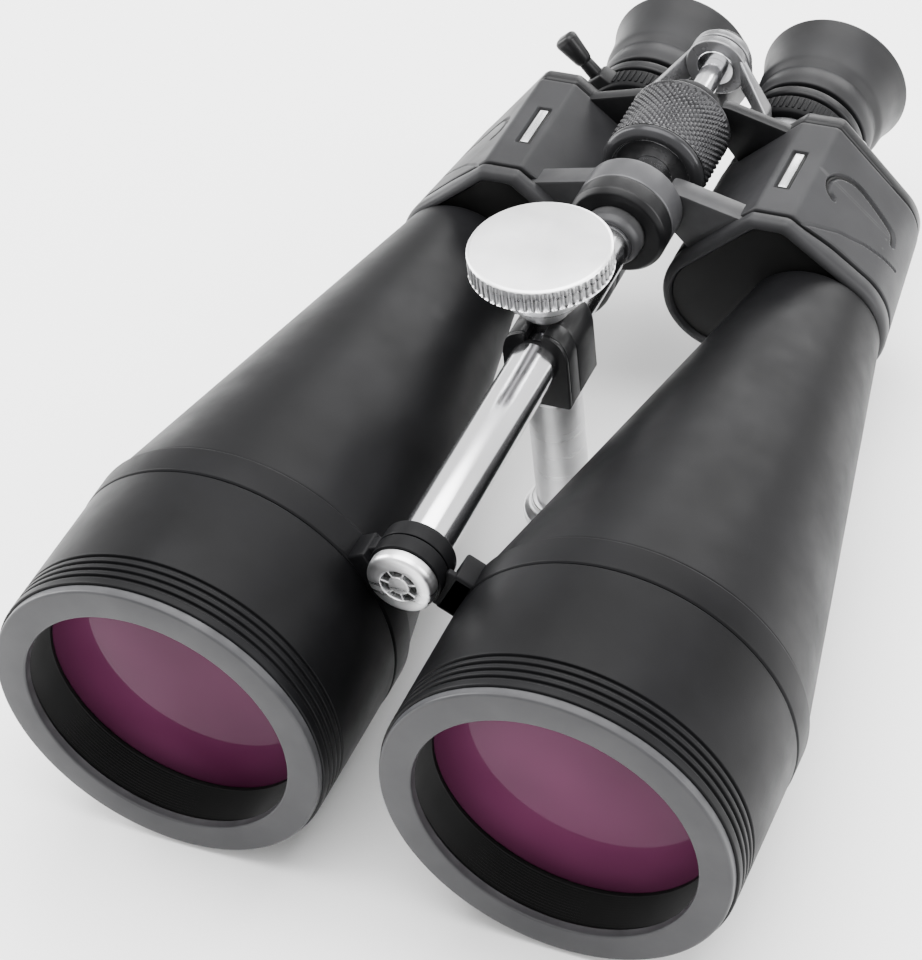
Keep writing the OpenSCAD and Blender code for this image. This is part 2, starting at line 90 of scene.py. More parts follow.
def material(name, colour, rough, metal=0.0, spec=0.5, coat=0.0, coat_rough=0.1):
    m = bpy.data.materials.new(name)
    m.use_nodes = True
    shader = m.node_tree.nodes["Principled BSDF"]
    shader.inputs["Base Color"].default_value = (*colour, 1)
    shader.inputs["Roughness"].default_value = rough
    shader.inputs["Metallic"].default_value = metal
    shader.inputs["Specular IOR Level"].default_value = spec
    shader.inputs["Coat Weight"].default_value = coat
    shader.inputs["Coat Roughness"].default_value = coat_rough
    return m, m.node_tree, shader


def coordinates(tree, stretch=(1, 1, 1)):
    place = tree.nodes.new("ShaderNodeTexCoord")
    scale = tree.nodes.new("ShaderNodeMapping")
    scale.inputs["Scale"].default_value = stretch
    tree.links.new(place.outputs["Object"], scale.inputs["Vector"])
    return scale.outputs["Vector"]


def noise(tree, vector, scale, detail=4.0, rough=0.55):
    n = tree.nodes.new("ShaderNodeTexNoise")
    n.inputs["Scale"].default_value = scale
    n.inputs["Detail"].default_value = detail
    n.inputs["Roughness"].default_value = rough
    tree.links.new(vector, n.inputs["Vector"])
    return n.outputs["Fac"]


def spread(tree, value, low, high, source=(0.3, 0.7)):
    """The value's source range stretched to low..high."""
    r = tree.nodes.new("ShaderNodeMapRange")
    r.inputs["From Min"].default_value = source[0]
    r.inputs["From Max"].default_value = source[1]
    r.inputs["To Min"].default_value = low
    r.inputs["To Max"].default_value = high
    tree.links.new(value, r.inputs["Value"])
    return r.outputs["Result"]


def ramp(tree, value, stops):
    r = tree.nodes.new("ShaderNodeValToRGB")
    r.color_ramp.elements[0].position = stops[0][0]
    r.color_ramp.elements[0].color = (*stops[0][1], 1)
    r.color_ramp.elements[1].position = stops[-1][0]
    r.color_ramp.elements[1].color = (*stops[-1][1], 1)
    for position, colour in stops[1:-1]:
        e = r.color_ramp.elements.new(position)
        e.color = (*colour, 1)
    tree.links.new(value, r.inputs["Fac"])
    return r.outputs["Color"]


def bump(tree, shader, height, strength, distance):
    b = tree.nodes.new("ShaderNodeBump")
    b.inputs["Strength"].default_value = strength
    b.inputs["Distance"].default_value = distance
    tree.links.new(height, b.inputs["Height"])
    tree.links.new(b.outputs["Normal"], shader.inputs["Normal"])


def worn(tree, shader, base, edge, amount):
    """Edges of the mesh rubbed towards a lighter colour, broken up by noise."""
    geometry = tree.nodes.new("ShaderNodeNewGeometry")
    sharp = spread(tree, geometry.outputs["Pointiness"], 0.0, amount, (0.52, 0.62))
    patchy = spread(tree, noise(tree, coordinates(tree), 160, 3), 0.2, 1.0)
    both = tree.nodes.new("ShaderNodeMath")
    both.operation = "MULTIPLY"
    tree.links.new(sharp, both.inputs[0])
    tree.links.new(patchy, both.inputs[1])
    mix = tree.nodes.new("ShaderNodeMix")
    mix.data_type = "RGBA"
    mix.inputs["B"].default_value = (*edge, 1)
    tree.links.new(both.outputs[0], mix.inputs["Factor"])
    tree.links.new(base, mix.inputs["A"])
    tree.links.new(mix.outputs["Result"], shader.inputs["Base Color"])


def rubber(name, dark, light, rough, edge, spec, grain=2600):
    """Moulded rubber: slight mottling, a fine pebbled skin and scuffed edges."""
    m, tree, shader = material(name, dark, rough, spec=spec)
    here = coordinates(tree)
    cloud = noise(tree, here, 38, 5)
    tint = ramp(tree, cloud, [(0.35, dark), (0.7, light)])
    worn(tree, shader, tint, edge, 0.35)
    smear = noise(tree, here, 70, 4)
    tree.links.new(spread(tree, smear, rough - 0.05, rough + 0.07), shader.inputs["Roughness"])
    bump(tree, shader, noise(tree, here, grain, 2), 0.18, 0.00012)
    return m


def paint(name, dark, light, rough, edge, metal=0.0):
    """Sprayed paint over cast metal: orange-peel bump, faint mottling and bright worn edges."""
    m, tree, shader = material(name, dark, rough, metal=metal, spec=0.18, coat=0.02, coat_rough=0.3)
    here = coordinates(tree)
    tint = ramp(tree, noise(tree, here, 55, 5), [(0.35, dark), (0.7, light)])
    worn(tree, shader, tint, edge, 0.3)
    tree.links.new(spread(tree, noise(tree, here, 90, 4), rough - 0.06, rough + 0.06), shader.inputs["Roughness"])
    bump(tree, shader, noise(tree, here, 3200, 2), 0.12, 0.0001)
    return m


def turned_metal(name, colour, rough, stretch):
    """Bare or plated metal with fine tool marks, long across one axis, and faint smudges."""
    m, tree, shader = material(name, colour, rough, metal=1.0)
    marks = noise(tree, coordinates(tree, stretch), 60, 6, 0.7)
    smudge = noise(tree, coordinates(tree), 45, 3)
    darker = tuple(0.86 * c for c in colour)
    tree.links.new(ramp(tree, smudge, [(0.3, darker), (0.65, colour)]), shader.inputs["Base Color"])
    tree.links.new(spread(tree, marks, rough * 0.7, rough * 1.5), shader.inputs["Roughness"])
    bump(tree, shader, marks, 0.05, 0.00008)
    return m


def coated_glass(name, colour, rough, glow, spec):
    """A coated lens seen against a black barrel: a tinted, polished surface that keeps the room's reflections."""
    m, tree, shader = material(name, colour, rough, spec=spec, coat=0.06, coat_rough=0.02)
    here = coordinates(tree)
    tint = ramp(tree, noise(tree, here, 14, 2), [(0.3, colour), (0.75, glow)])
    tree.links.new(tint, shader.inputs["Base Color"])
    tree.links.new(spread(tree, noise(tree, here, 220, 3), rough, rough + 0.03), shader.inputs["Roughness"])
    bump(tree, shader, noise(tree, here, 500, 2), 0.02, 0.00002)
    return m


def clear_glass(name, tint):
    m, tree, shader = material(name, tint, 0.03, spec=0.6)
    shader.inputs["Transmission Weight"].default_value = 0.9
    shader.inputs["IOR"].default_value = 1.52
    here = coordinates(tree)
    tree.links.new(spread(tree, noise(tree, here, 200, 3), 0.02, 0.05), shader.inputs["Roughness"])
    bump(tree, shader, noise(tree, here, 400, 2), 0.02, 0.00002)
    return m


def gray(level, blue=0.0):
    return (level, level, level + blue)


ARMOUR = rubber("barrel_armour", gray(0.003, 0.0003), gray(0.005, 0.0006), 0.42, gray(0.025, 0.003), 0.08)
HOUSING = rubber("housing_armour", gray(0.014, 0.001), gray(0.022, 0.0015), 0.46, gray(0.09), 0.16, grain=2200)
EYECUP = rubber("eyecup_rubber", gray(0.005, 0.0005), gray(0.01, 0.001), 0.45, gray(0.04), 0.22)
RIM = paint("rim_gray", gray(0.028, 0.002), gray(0.038, 0.002), 0.38, gray(0.2, 0.01))
INNER = paint("baffle_black", gray(0.0015), gray(0.003), 0.5, gray(0.01))
BLACK = paint("black_enamel", gray(0.003, 0.0005), gray(0.006, 0.0005), 0.36, gray(0.06))
SATIN = paint("satin_gray", gray(0.05, 0.003), gray(0.075, 0.003), 0.34, gray(0.5), metal=0.4)
WEB = paint("web_gray", gray(0.025, 0.001), gray(0.036, 0.002), 0.4, gray(0.25), metal=0.2)
WHEEL = paint("wheel_gray", gray(0.018, 0.001), gray(0.032, 0.002), 0.24, gray(0.5), metal=0.5)
ARM = paint("bridge_metal", gray(0.16, 0.005), gray(0.22, 0.005), 0.28, gray(0.7), metal=0.7)
CHROME = turned_metal("rod_chrome", (0.93, 0.93, 0.95), 0.15, (1, 0.02, 1))
BRIGHT = turned_metal("bright_plate", (0.85, 0.85, 0.87), 0.15, (1, 6, 1))
KNOB = turned_metal("knob_aluminium", (0.93, 0.93, 0.94), 0.3, (0.15, 0.15, 5))
POST = turned_metal("post_aluminium", (0.92, 0.92, 0.93), 0.3, (0.1, 0.1, 8))
BADGE = turned_metal("badge_plate", (0.8, 0.8, 0.81), 0.22, (1, 0.1, 1))
CAST = turned_metal("cast_metal", (0.4, 0.4, 0.41), 0.5, (1, 1, 1))
LENS = coated_glass("lens_coating", (0.045, 0.008, 0.026), 0.02, (0.1, 0.025, 0.062), spec=0.05)
GLASS = clear_glass("optical_glass", (0.9, 0.95, 0.97))

# ---------------------------------------------------------------- mesh builders


def piece_of(name, shape, look, body, nodes=(), slot=None, sharp=32, merge=True):
    """A piece from its (vertices, faces): cleaned, shaded, given its material, and set riding on its body."""
    verts, faces = shape
    mesh = bpy.data.meshes.new(name)
    mesh.from_pydata(verts, [], faces)
    b = bmesh.new()
    b.from_mesh(mesh)
    if merge:
        bmesh.ops.remove_doubles(b, verts=b.verts, dist=0.2e-6)
    bmesh.ops.recalc_face_normals(b, faces=b.faces)
    b.to_mesh(mesh)
    b.free()
    mesh.shade_smooth()
    mesh.set_sharp_from_angle(angle=math.radians(sharp))
    mesh.materials.append(look)
    piece = bpy.data.objects.new(name, mesh)
    bpy.context.collection.objects.link(piece)
    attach(piece, body)
    if nodes:
        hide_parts(*nodes)
    return piece


def rounded(points, steps=4, closed=True):
    """An outline whose corners are rounded by each point's third value."""
    out = []
    n = len(points)
    for i, p in enumerate(points):
        size = p[2] if len(p) > 2 else 0
        if not size or (not closed and i in (0, n - 1)):
            out.append((p[0], p[1]))
            continue
        here = Vector(p[:2])
        before = Vector(points[i - 1][:2]) - here
        after = Vector(points[(i + 1) % n][:2]) - here
        start = here + before.normalized() * min(size, before.length * 0.49)
        end = here + after.normalized() * min(size, after.length * 0.49)
        for k in range(steps + 1):
            t = k / steps
            q = start * (1 - t) ** 2 + here * (2 * t * (1 - t)) + end * t * t
            out.append((q.x, q.y))
    return out


def turned_faces(outline, turns):
    """The faces between copies of a closed outline turned round an axis, which it may touch."""
    faces = []
    n = len(outline)
    for i in range(turns):
        j = (i + 1) % turns
        for k in range(n):
            m = (k + 1) % n
            if outline[k][0] < 1e-6 and outline[m][0] < 1e-6:
                continue
            faces.append((i * n + k, i * n + m, j * n + m, j * n + k))
    return faces


def ring_faces(rows, n):
    """The faces between closed rings of n vertices each, without the two ends."""
    faces = []
    for k in range(rows - 1):
        for i in range(n):
            j = (i + 1) % n
            faces.append((k * n + i, k * n + j, (k + 1) * n + j, (k + 1) * n + i))
    return faces


def closed_faces(rows, n):
    ends = [tuple(range(n)), tuple((rows - 1) * n + i for i in range(n))]
    return ring_faces(rows, n) + ends


def lathe_mesh(axis, outline, turns=96):
    """A closed (radius, distance) outline turned round an axis that runs along Y."""
    verts = []
    for i in range(turns):
        a = 2 * math.pi * i / turns
        for r, d in outline:
            verts.append(at(axis[0] + r * math.cos(a), d, axis[1] + r * math.sin(a)))
    return verts, turned_faces(outline, turns)


def lathe(name, axis, points, look, body, nodes=(), slot=None, turns=96, sharp=32, steps=4):
    shape = lathe_mesh(axis, rounded(points, steps), turns)
    return piece_of(name, shape, look, body, nodes, slot, sharp)


def plate_mesh(outline, start, end, edge=0.6):
    """A flat plate across Y with a rounded edge, from an (x, z) outline, as rings of vertices."""
    n = len(outline)
    middle = Vector((sum(p[0] for p in outline) / n, sum(p[1] for p in outline) / n))
    rings = [(start, edge), (start + edge * 0.3, edge * 0.3), (start + edge, 0), (end - edge, 0),
             (end - edge * 0.3, edge * 0.3), (end, edge)]
    verts = []
    for d, inset in rings:
        for i, p in enumerate(outline):
            here = Vector(p)
            along = Vector(outline[(i + 1) % n]) - Vector(outline[i - 1])
            inward = Vector((-along.y, along.x)).normalized() if along.length else Vector((0, 0))
            if inward.dot(middle - here) < 0:
                inward = -inward
            q = here + inward * inset
            verts.append(at(q.x, d, q.y))
    return verts, closed_faces(len(rings), n)


def join_mesh(parts):
    """Several (vertices, faces) as one."""
    verts = []
    faces = []
    for v, f in parts:
        base = len(verts)
        verts.extend(v)
        faces.extend(tuple(i + base for i in face) for face in f)
    return verts, faces


def block_mesh(shape, edge):
    """A bevelled block: shape takes a corner of the unit cube, -0.5 to 0.5 each way, to its (x, d, z) place."""
    b = bmesh.new()
    bmesh.ops.create_cube(b, size=1)
    for v in b.verts:
        v.co = shape(v.co)
    b.normal_update()
    bmesh.ops.bevel(b, geom=list(b.edges), offset=edge, segments=4, affect="EDGES", profile=0.5)
    b.verts.index_update()
    verts = [at(*v.co) for v in b.verts]
    faces = [tuple(v.index for v in f.verts) for f in b.faces]
    b.free()
    return verts, faces


def box_mesh(size, place, turn=Matrix.Identity(3), edge=0.8):
    """A bevelled box of one size in mm, turned about its middle."""
    return block_mesh(lambda c: turn @ Vector((c.x * size[0], c.y * size[1], c.z * size[2])) + Vector(place), edge)


def taper_mesh(first, second, edge=0.8):
    """A bevelled bar between two upright rectangles, each (x, low d, high d, low z, high z)."""
    def shape(c):
        x, low_d, high_d, low_z, high_z = second if c.x > 0 else first
        return Vector((x, high_d if c.y > 0 else low_d, high_z if c.z > 0 else low_z))

    return block_mesh(shape, edge)


def cord_mesh(path, radius, sides=10):
    """A closed round cord along a path of (x, d, z) points."""
    verts = []
    n = len(path)
    for k, p in enumerate(path):
        along = (path[min(k + 1, n - 1)] - path[max(k - 1, 0)]).normalized()
        across = along.cross(Vector((0, 0, 1))).normalized()
        rise = across.cross(along)
        r = radius * min(1, 0.35 + 0.3 * min(k, n - 1 - k))
        for i in range(sides):
            a = 2 * math.pi * i / sides
            verts.append(at(*(p + across * (r * math.cos(a)) + rise * (r * math.sin(a)))))
    return verts, closed_faces(n, sides)


def knurled_mesh(axis, radius, start, end, teeth, pitch, depth, per_tooth=6):
    """A band of diamond knurling round an axis along Y."""
    turns = teeth * per_tooth
    rows = max(4, int((end - start) / pitch * per_tooth))
    verts = []

    def wave(t):
        return abs(2 * (t - math.floor(t)) - 1)

    for j in range(rows + 1):
        d = start + (end - start) * j / rows
        fade = min(1, j / 3, (rows - j) / 3)
        for i in range(turns):
            t = i / per_tooth
            cut = max(wave(t + d / pitch), wave(t - d / pitch))
            r = radius - depth * fade * max(0, cut - 0.45) / 0.55
            a = 2 * math.pi * i / turns
            verts.append(at(axis[0] + r * math.cos(a), d, axis[1] + r * math.sin(a)))
    return verts, ring_faces(rows + 1, turns)


def upright(name, place, points, look, body, nodes, slot, turns=128, sharp=32, shape=None):
    """A closed (radius, height) outline turned round a vertical axis at (x, d); shape may change the radius."""
    outline = rounded(points)
    verts = []
    for i in range(turns):
        a = 2 * math.pi * i / turns
        for r, z in outline:
            q = shape(r, z, a) if shape else r
            verts.append(at(place[0] + q * math.cos(a), place[1] + q * math.sin(a), z))
    return piece_of(name, (verts, turned_faces(outline, turns)), look, body, nodes, slot, sharp)


def look_for(node, look):
    """A CAD node that keeps its shape, with a better material."""
    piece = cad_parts[node]
    piece.data.materials.clear()
    piece.data.materials.append(look)


# ---------------------------------------------------------------- objectives and barrels

HOOD_R = 50.9
CELL_R = 43.45
RIM_BORE = 40.5
RIM_R = 50.0
SLEEVE_R = 48.05
BRACE_R = 51.15
GROOVES = (5.2, 7.8, 10.4, 13.0)
HOOD_END = 48.8
BRACE_START = 49.1
BRACE_END = 59.1
COLLAR_R = 10.8
CONE_START = 59.4
CONE_END = 213.5
CONE_FRONT_R = 50.3
CONE_REAR_R = 22.2


def hood_outline():
    points = [(SLEEVE_R, 2.75), (HOOD_R - 0.1, 2.75, 0.5)]
    for d in GROOVES:
        points += [(HOOD_R, d, 0.35), (HOOD_R - 0.95, d + 0.3, 0.25), (HOOD_R - 0.95, d + 1.0, 0.25),
                   (HOOD_R, d + 1.3, 0.35)]
    points += [(HOOD_R, HOOD_END, 0.4), (SLEEVE_R, HOOD_END)]
    return points


def baffle_outline():
    """The retaining ring in front of a lens, threaded inside so that it doesn't shine."""
    points = [(CELL_R, 2.75), (CELL_R, 16.4), (RIM_BORE + 0.3, 16.4, 0.3)]
    d = 15.2
    while d > 4.2:
        points += [(RIM_BORE + 0.5, d), (RIM_BORE + 1.1, d - 0.45)]
        d -= 0.9
    points.append((RIM_BORE + 0.6, 2.75))
    return points


def lens_outline(front, back, radius, front_sag, back_sag, steps=20):
    out = [(radius * i / steps, front - front_sag * (1 - (i / steps) ** 2)) for i in range(steps + 1)]
    out += [(radius * i / steps, back + back_sag * (1 - (i / steps) ** 2)) for i in range(steps, -1, -1)]
    return out


def objective(side, word):
    axis = (side * OBJECTIVE[0], OBJECTIVE[1])
    body = word + "_half"
    lathe(word + "_rim", axis, [(RIM_BORE, 0, 0.7), (RIM_R, 0, 0.9), (RIM_R, 2.7), (RIM_BORE, 2.7)],
          RIM, body, [word + "_objective_rim"], "gray_rim", turns=192)
    lathe(word + "_hood", axis, hood_outline(), ARMOUR, body, [word + "_objective_hood"], "black_armour", turns=192)
    lathe(word + "_baffle_ring", axis, baffle_outline(), INNER, body, [word + "_lens_ring"], "inner_black",
          turns=160)
    lathe(word + "_lens_front", axis, lens_outline(17.0, 24.2, CELL_R, 3.2, 2.6), LENS, body,
          [word + "_objective_lens"], "coated_glass", turns=128, sharp=60)
    lathe(word + "_lens_back", axis, lens_outline(24.25, 31.0, CELL_R, -2.6, 0), GLASS, body, (), "coated_glass",
          sharp=60)
    front = [(45.6, 36), (48, 36, 0.3), (48, CONE_START), (CONE_FRONT_R - 0.5, CONE_START),
             (CONE_FRONT_R, CONE_START + 0.6, 0.5)]
    back = [(CONE_REAR_R, CONE_END), (CONE_REAR_R - 0.35, CONE_END + 2.2, 0.8),
            (CONE_REAR_R - 1.4, CONE_END + 3.1, 0.4)]
    neck = [(18.9, CONE_END + 3.2), (18.9, 225), (16.8, 225), (16.8, 217)]
    inside = [(CONE_REAR_R - 2.2, CONE_END), (CONE_FRONT_R - 4.2, CONE_START + 4), (45.6, CONE_START)]
    barrel = front + back + neck + inside
    lathe(word + "_cone", axis, barrel, ARMOUR, body, [word + "_barrel"], "black_armour", turns=192, steps=6)
    brace(side, word, axis, body)
    look_for(word + "_objective_cell", INNER)


def brace(side, word, axis, body):
    """Band round the barrel, arm and collar round the rod."""
    first = side > 0
    band = [(SLEEVE_R, BRACE_START), (BRACE_R - 0.5, BRACE_START), (BRACE_R, BRACE_START + 0.5, 0.4),
            (BRACE_R, BRACE_END, 0.45), (SLEEVE_R, BRACE_END)]
    low, high = (46.4, 51.5) if first else (51.9, 57.2)
    collar = [(ROD_R + 0.05, low, 0.3), (COLLAR_R, low, 0.4), (COLLAR_R, high, 0.4), (ROD_R + 0.05, high, 0.3)]
    tilt = math.atan2(OBJECTIVE[1], side * OBJECTIVE[0])
    turn = Matrix.Rotation(-tilt, 3, "Y")
    outside = math.hypot(*OBJECTIVE) - BRACE_R + 1.2

    def bar(inside, overlap, low_d, high_d, height, edge):
        """A block from near the rod out into the band, along the line between their axes."""
        middle = (outside + inside + overlap) / 2
        place = (middle * math.cos(tilt), (low_d + high_d) / 2, middle * math.sin(tilt))
        return box_mesh((outside - inside, high_d - low_d, height), place, turn, edge)

    arm = bar(8.5, 1.0, *((49.2, 51.4) if first else (52.0, 57.1)), 15, 0.8)
    shoulder = bar(11.4, 0.0, 49.2, 58.9, 16, 0.9)
    parts = [lathe_mesh(axis, rounded(band), 192), lathe_mesh(HINGE, rounded(collar)), arm, shoulder]
    piece_of(word + "_brace_ring", join_mesh(parts), ARMOUR, body, [word + "_brace"], "black_metal", merge=False)


# ---------------------------------------------------------------- prism housings

OUTER_R = (22.4, 17.7)
INNER_LOBE = (29.0, -32.0, 20.4)
STRIP = (38.8, 51.0, 3.9)
SEAM = 224.5
SHELL_FRONT = 225.1
SHELL_BACK = 270.4
SHAFT_BORE = 6.35
BADGE_BOX = (41.0, 45.8, 235.4, 255.0)
FINGER_GROOVE = [(57.9, 242.9), (56.3, 243.9), (55.4, 245.6), (55.0, 248.7), (56.3, 252.9), (58.6, 255.3),
                 (61.2, 256.4), (64.1, 256.3), (67.8, 255.1), (71.8, 253.3), (74.3, 251.3), (75.5, 247.3)]
FINE_GROOVE = [(54, 222.9), (56.6, 226), (59.7, 228.9), (62.8, 232), (66.2, 234), (69.6, 236.2),
               (73.4, 237.5), (77.1, 238.8), (79.6, 240.9)]


def tangent(first, second, pick):
    """Where a line touches two circles on the side that pick prefers: the direction from both centres."""
    gap = Vector((second[0] - first[0], second[1] - first[1]))
    lean = math.acos((first[2] - second[2]) / gap.length)
    base = math.atan2(gap.y, gap.x)
    sides = [base + lean, base - lean]
    return max(sides, key=lambda a: pick(math.cos(a), math.sin(a)))


def arc(circle, start, end, count):
    """Points clockwise along a circle from one direction to another."""
    while end > start:
        end -= 2 * math.pi
    return [(circle[0] + circle[2] * math.cos(start + (end - start) * i / count),
             circle[1] + circle[2] * math.sin(start + (end - start) * i / count)) for i in range(count + 1)]


def line(p, q, count):
    """Points strictly between p and q."""
    return [(p[0] + (q[0] - p[0]) * i / count, p[1] + (q[1] - p[1]) * i / count) for i in range(1, count)]


def lobe_at(d):
    """The rounded outer corner of a housing, round the barrel's axis, tapering a little towards the back."""
    back = (d - SEAM) / (SHELL_BACK - SEAM)
    return OBJECTIVE[0], OBJECTIVE[1], OUTER_R[0] + (OUTER_R[1] - OUTER_R[0]) * back


def housing_outline(d, shrink):
    """Clockwise outline of the left housing at one station, always with the same number of points."""
    outer = lobe_at(d)
    outer = (outer[0], outer[1], outer[2] - shrink)
    inner = (INNER_LOBE[0], INNER_LOBE[1], INNER_LOBE[2] - shrink)
    top = STRIP[2] - shrink
    left = (STRIP[0] + shrink * 0.6, top)
    right = (STRIP[1] - shrink * 0.4, top)
    to_right = tangent((*right, 0), outer, lambda c, s: c)
    under = tangent(outer, inner, lambda c, s: -s)
    to_left = tangent(inner, (*left, 0), lambda c, s: -c)
    on_outer = arc(outer, to_right, under, 150)
    on_inner = arc(inner, under, to_left, 70)
    corner_l = rounded([on_inner[-1], (*left, 1.0), right], 4, closed=False)[1:-1]
    corner_r = rounded([left, (*right, 1.4), on_outer[0]], 4, closed=False)[1:-1]
    flat = line(corner_l[-1], corner_r[0], 34)
    return (corner_l + flat + corner_r + line(corner_r[-1], on_outer[0], 90) + on_outer
            + line(on_outer[-1], on_inner[0], 20) + on_inner + line(on_inner[-1], corner_l[0], 26))


def smooth_path(points, steps=6):
    """A Catmull-Rom curve through the points."""
    out = []
    padded = [points[0]] + list(points) + [points[-1]]
    for i in range(1, len(padded) - 2):
        p = [Vector(q) for q in padded[i - 1:i + 3]]
        for k in range(steps):
            t = k / steps
            out.append(0.5 * (2 * p[1] + (p[2] - p[0]) * t + (2 * p[0] - 5 * p[1] + 4 * p[2] - p[3]) * t * t
                              + (3 * p[1] - p[0] - 3 * p[2] + p[3]) * t ** 3))
    out.append(Vector(points[-1]))
    return out


def on_slope(points, sink=0.0):
    """A path of (x, d) points lifted on to the sloping side of a housing, or sunk below it."""
    out = []
    for p in smooth_path(points):
        outer = lobe_at(p.y)
        touch = tangent((STRIP[1], STRIP[2], 0), outer, lambda c, s: c)
        normal = Vector((math.cos(touch), math.sin(touch)))
        across = (p.x - STRIP[1]) / normal.y
        edge = outer[0] + outer[2] * normal.x
        if p.x < edge:
            here = Vector((p.x, STRIP[2] - across * normal.x))
        else:
            rise = math.sqrt(max(0, outer[2] ** 2 - (p.x - outer[0]) ** 2))
            here = Vector((p.x, outer[1] + rise))
            normal = (here - Vector(outer[:2])).normalized()
        here -= normal * sink
        out.append(Vector((here.x, p.y, here.y)))
    return out


def from_line(path, q):
    best = 1e9
    for a, b in zip(path, path[1:]):
        along = b - a
        t = max(0, min(1, (q - a).dot(along) / max(1e-9, along.length_squared)))
        best = min(best, (a + along * t - q).length_squared)
    return math.sqrt(best)


def soft(t):
    t = max(0, min(1, t))
    return t * t * (3 - 2 * t)


def loft(side, stations, relief=None):
    """A closed loft through housing outlines at (distance, shrink) stations."""
    verts = []
    outlines = [housing_outline(d, shrink) for d, shrink in stations]
    n = len(outlines[0])
    for (d, _), outline in zip(stations, outlines):
        for i, (x, z) in enumerate(outline):
            along = Vector(outline[(i + 1) % n]) - Vector(outline[i - 1])
            out = Vector((-along.y, along.x)).normalized()
            here = d + front_shift(d, z)
            lift = relief(x, here, z) if relief else 0
            verts.append(at(side * (x + out.x * lift), here, z + out.y * lift))
    return verts, closed_faces(len(stations), n)


def front_shift(d, z):
    """The seam behind the front cover bows forwards across the flat strip."""
    return -1.8 * soft((z + 8) / 10) * soft((d - 217) / 5) * soft((236 - d) / 10)


def shell_relief():
    """The finger groove, the fine line in front of it and the badge's slot, as depths of the surface."""
    finger = on_slope(FINGER_GROOVE)
    fine = on_slope(FINE_GROOVE)
    low_x, high_x, low_d, high_d = BADGE_BOX

    def relief(x, d, z):
        lift = 0
        if x > 53 and z > -25 and d < 258:
            here = Vector((x, d, z))
            lift -= 1.1 * soft(1.75 - from_line(finger, here) / 0.75)
            lift -= 0.5 * soft(1.9 - from_line(fine, here) / 0.35)
        if z > 2 and low_x - 1 < x < high_x + 1:
            inside = min(x - low_x, high_x - x, d - low_d, high_d - d)
            lift -= 1.0 * soft(0.5 + inside / 0.6)
        return lift

    return relief


def web_mesh(side, start, end, inner_r):
    """The sloping web between the hinge and a housing."""
    outline = [(inner_r, 5.2), (inner_r + 3, 5.0), (34.5, -0.6), (41, -2.5), (41, -12), (32, -22), (18, -17.5),
               (inner_r + 0.5, -9)]
    outline = rounded([(x, z, 1.2) for x, z in outline], 3)
    return plate_mesh([(side * x, z) for x, z in outline], start, end, 0.7)


def knuckle_mesh(start, end, radius):
    outline = [(SHAFT_BORE, start, 0.3), (radius, start, 0.8), (radius, end, 0.6), (SHAFT_BORE, end, 0.3)]
    return lathe_mesh(HINGE, rounded(outline))


def housing(side, word):
    """Shell, covers, hinge knuckles and webs of one half."""
    body = word + "_half"
    stations = [(SHELL_FRONT, 1.1), (SHELL_FRONT + 0.1, 0.5), (SHELL_FRONT + 0.35, 0.15), (SHELL_FRONT + 0.8, 0)]
    stations += [(SHELL_FRONT + 1.2 + 0.38 * i, 0) for i in range(87)]
    stations += [(SHELL_FRONT + 34.8 + 0.9 * i, 0) for i in range(11)]
    stations += [(SHELL_BACK - 0.8, 0), (SHELL_BACK - 0.35, 0.15), (SHELL_BACK - 0.1, 0.5), (SHELL_BACK, 1.1)]
    shell = loft(side, stations, shell_relief())
    piece_of(word + "_housing_shell", shell, HOUSING, body, [word + "_housing"], "gray_armour", sharp=38)
    # A near-black cord sunk along the finger groove: painted shade, so the groove reads darker than its depth alone
    # shades it.
    cord = [Vector((side * p.x, p.y, p.z)) for p in on_slope(FINGER_GROOVE, 1.25)]
    piece_of(word + "_groove_painted_shade", cord_mesh(cord, 0.62), INNER, body, (), "gray_armour")

    cover = [(219.2, 3.5), (217.4, 3.2), (217.05, 2.9), (217.0, 2.3), (217.25, 1.4), (217.9, 0.65),
             (218.9, 0.18), (220, 0), (223, 0), (223.4, 0.15), (223.65, 0.5), (223.75, 1.1)]
    # The front face inside the cover's flange is black paint, made near-black with the baffle black to add painted
    # shade between the barrel and the flange.
    face = [(218.5, 3.7), (218.6, 3.6), (219.3, 3.6)]
    seam = [(223.6, 1.3), (225.4, 1.3)]
    piece_of(word + "_front_cap", loft(side, cover), HOUSING, body, [word + "_front_cover"], "gray_armour", sharp=38)
    piece_of(word + "_front_face_black_and_shade", loft(side, face), INNER, body, (), "gray_armour", sharp=38)
    piece_of(word + "_seam_band", loft(side, seam), INNER, body, (), "gray_armour", sharp=38)
    if side > 0:
        web_r, look, slot = 10.4, SATIN, "satin_metal"
        knuckle = knuckle_mesh(212.3, 221.7, 16)
        rear_knuckle = knuckle_mesh(266.1, 269.5, 11)
    else:
        web_r, look, slot = 7, BLACK, "black_metal"
        knuckle = knuckle_mesh(222, 229.6, 8.6)
        rear_knuckle = knuckle_mesh(270, 273.1, 11)
    piece_of(word + "_front_web", web_mesh(side, 222.1, 230, web_r), WEB, body, (), "gray_armour")
    piece_of(word + "_front_knuckle", knuckle, look, body, (), slot)

    rear = [(SHELL_BACK + 0.2, 1.3), (SHELL_BACK + 0.6, 0.7), (SHELL_BACK + 1.1, 0.3), (SHELL_BACK + 1.8, 0.2),
            (275, 0.25), (276, 0.6), (276.7, 1.3), (277, 2.6)]
    eye = (side * EYEPIECE[0], EYEPIECE[1])
    boss = [(13.9, 275, 0.3), (17.2, 275), (16.8, 278.2, 0.9), (13.9, 278.2, 0.3)]
    parts = [loft(side, rear), web_mesh(side, 269.0, 273.6, 11.6), rear_knuckle, lathe_mesh(eye, rounded(boss))]
    piece_of(word + "_rear_cap", join_mesh(parts), BLACK, body, [word + "_rear_cover"], "gray_armour", merge=False)
    badge(side, word, body)
    look_for(word + "_prisms", GLASS)
    look_for(word + "_prism_shelf", CAST)
    look_for(word + "_cover_screws", BRIGHT)


